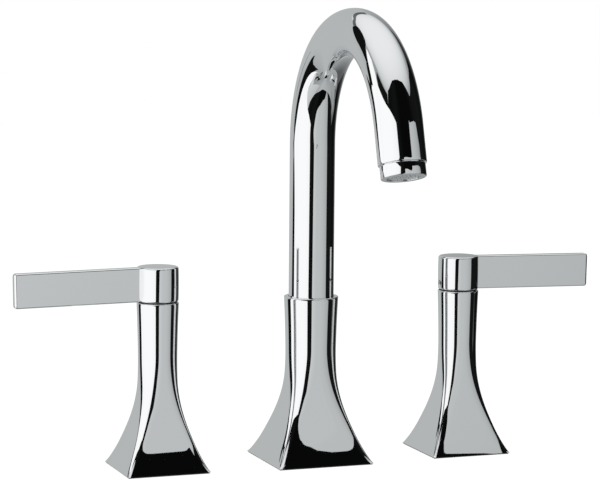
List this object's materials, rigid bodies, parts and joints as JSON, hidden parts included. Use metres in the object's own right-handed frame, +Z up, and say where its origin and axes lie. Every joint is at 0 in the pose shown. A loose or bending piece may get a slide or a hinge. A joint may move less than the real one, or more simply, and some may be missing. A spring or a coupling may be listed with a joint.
{
  "type": "roman tub faucet",
  "caption": "Deck-mounted tub filler with a gooseneck spout and flat lever handles, each standing on a flared base with a square foot.",
  "frame": {"origin": "centre of the spout's square foot, on the deck plane", "axes": "+X along the row of fittings towards the cold handle, +Z up; the spout pours towards -Y"},
  "size_m": [0.3866, 0.1954, 0.2885],
  "materials": {
    "chrome": "mirror-polished chrome plate",
    "brass": "machined",
    "rubber": "moulded",
    "ceramic": "lapped ceramic",
    "steel": "stainless",
    "dark_nylon": "moulded",
    "white_plastic": "moulded"
  },
  "bodies": {
    "root": {"hot_base": "chrome", "hot_foot_gasket": "rubber", "hot_valve_body": "brass", "hot_base_nut": "brass", "hot_seat_seal": "rubber", "hot_fixed_disc": "ceramic", "hot_cartridge_housing": "brass", "hot_cartridge_nut": "steel", "hot_glide_ring": "dark_nylon", "cold_base": "chrome", "cold_foot_gasket": "rubber", "cold_valve_body": "brass", "cold_base_nut": "brass", "cold_seat_seal": "rubber", "cold_fixed_disc": "ceramic", "cold_cartridge_housing": "brass", "cold_cartridge_nut": "steel", "cold_glide_ring": "dark_nylon", "spout_base": "chrome", "spout_foot_gasket": "rubber", "spout_body": "brass", "spout_base_nut": "brass", "swivel_washer": "white_plastic", "spigot_clip": "steel"},
    "hot_handle": {"hot_turning_disc": "ceramic", "hot_stem": "brass", "hot_stem_seals": "rubber", "hot_stem_clip": "steel", "hot_adaptor": "white_plastic", "hot_stem_screw": "steel", "hot_hub": "chrome", "hot_lever": "chrome", "hot_grub_screw": "steel"},
    "cold_handle": {"cold_turning_disc": "ceramic", "cold_stem": "brass", "cold_stem_seals": "rubber", "cold_stem_clip": "steel", "cold_adaptor": "white_plastic", "cold_stem_screw": "steel", "cold_hub": "chrome", "cold_lever": "chrome", "cold_grub_screw": "steel"},
    "spout": {"spigot": "brass", "spigot_seals": "rubber", "spout_tube": "chrome", "outlet_bush": "brass", "aerator_gasket": "rubber", "aerator_shell": "chrome", "aerator_insert": "white_plastic", "aerator_screen": "steel"}
  },
  "joints": [
    {"name": "hot_handle_turn", "type": "hinge", "parent": "root", "child": "hot_handle", "pos_m": [-0.1016, 0, 0.1054], "axis": [0, 0, 1], "range_deg": [0, 90]},
    {"name": "cold_handle_turn", "type": "hinge", "parent": "root", "child": "cold_handle", "pos_m": [0.1016, 0, 0.1054], "axis": [0, 0, 1], "range_deg": [-90, 0]},
    {"name": "spout_swivel", "type": "hinge", "parent": "root", "child": "spout", "pos_m": [0, 0, 0.0732], "axis": [0, 0, 1], "range_deg": [-60, 60]}
  ]
}
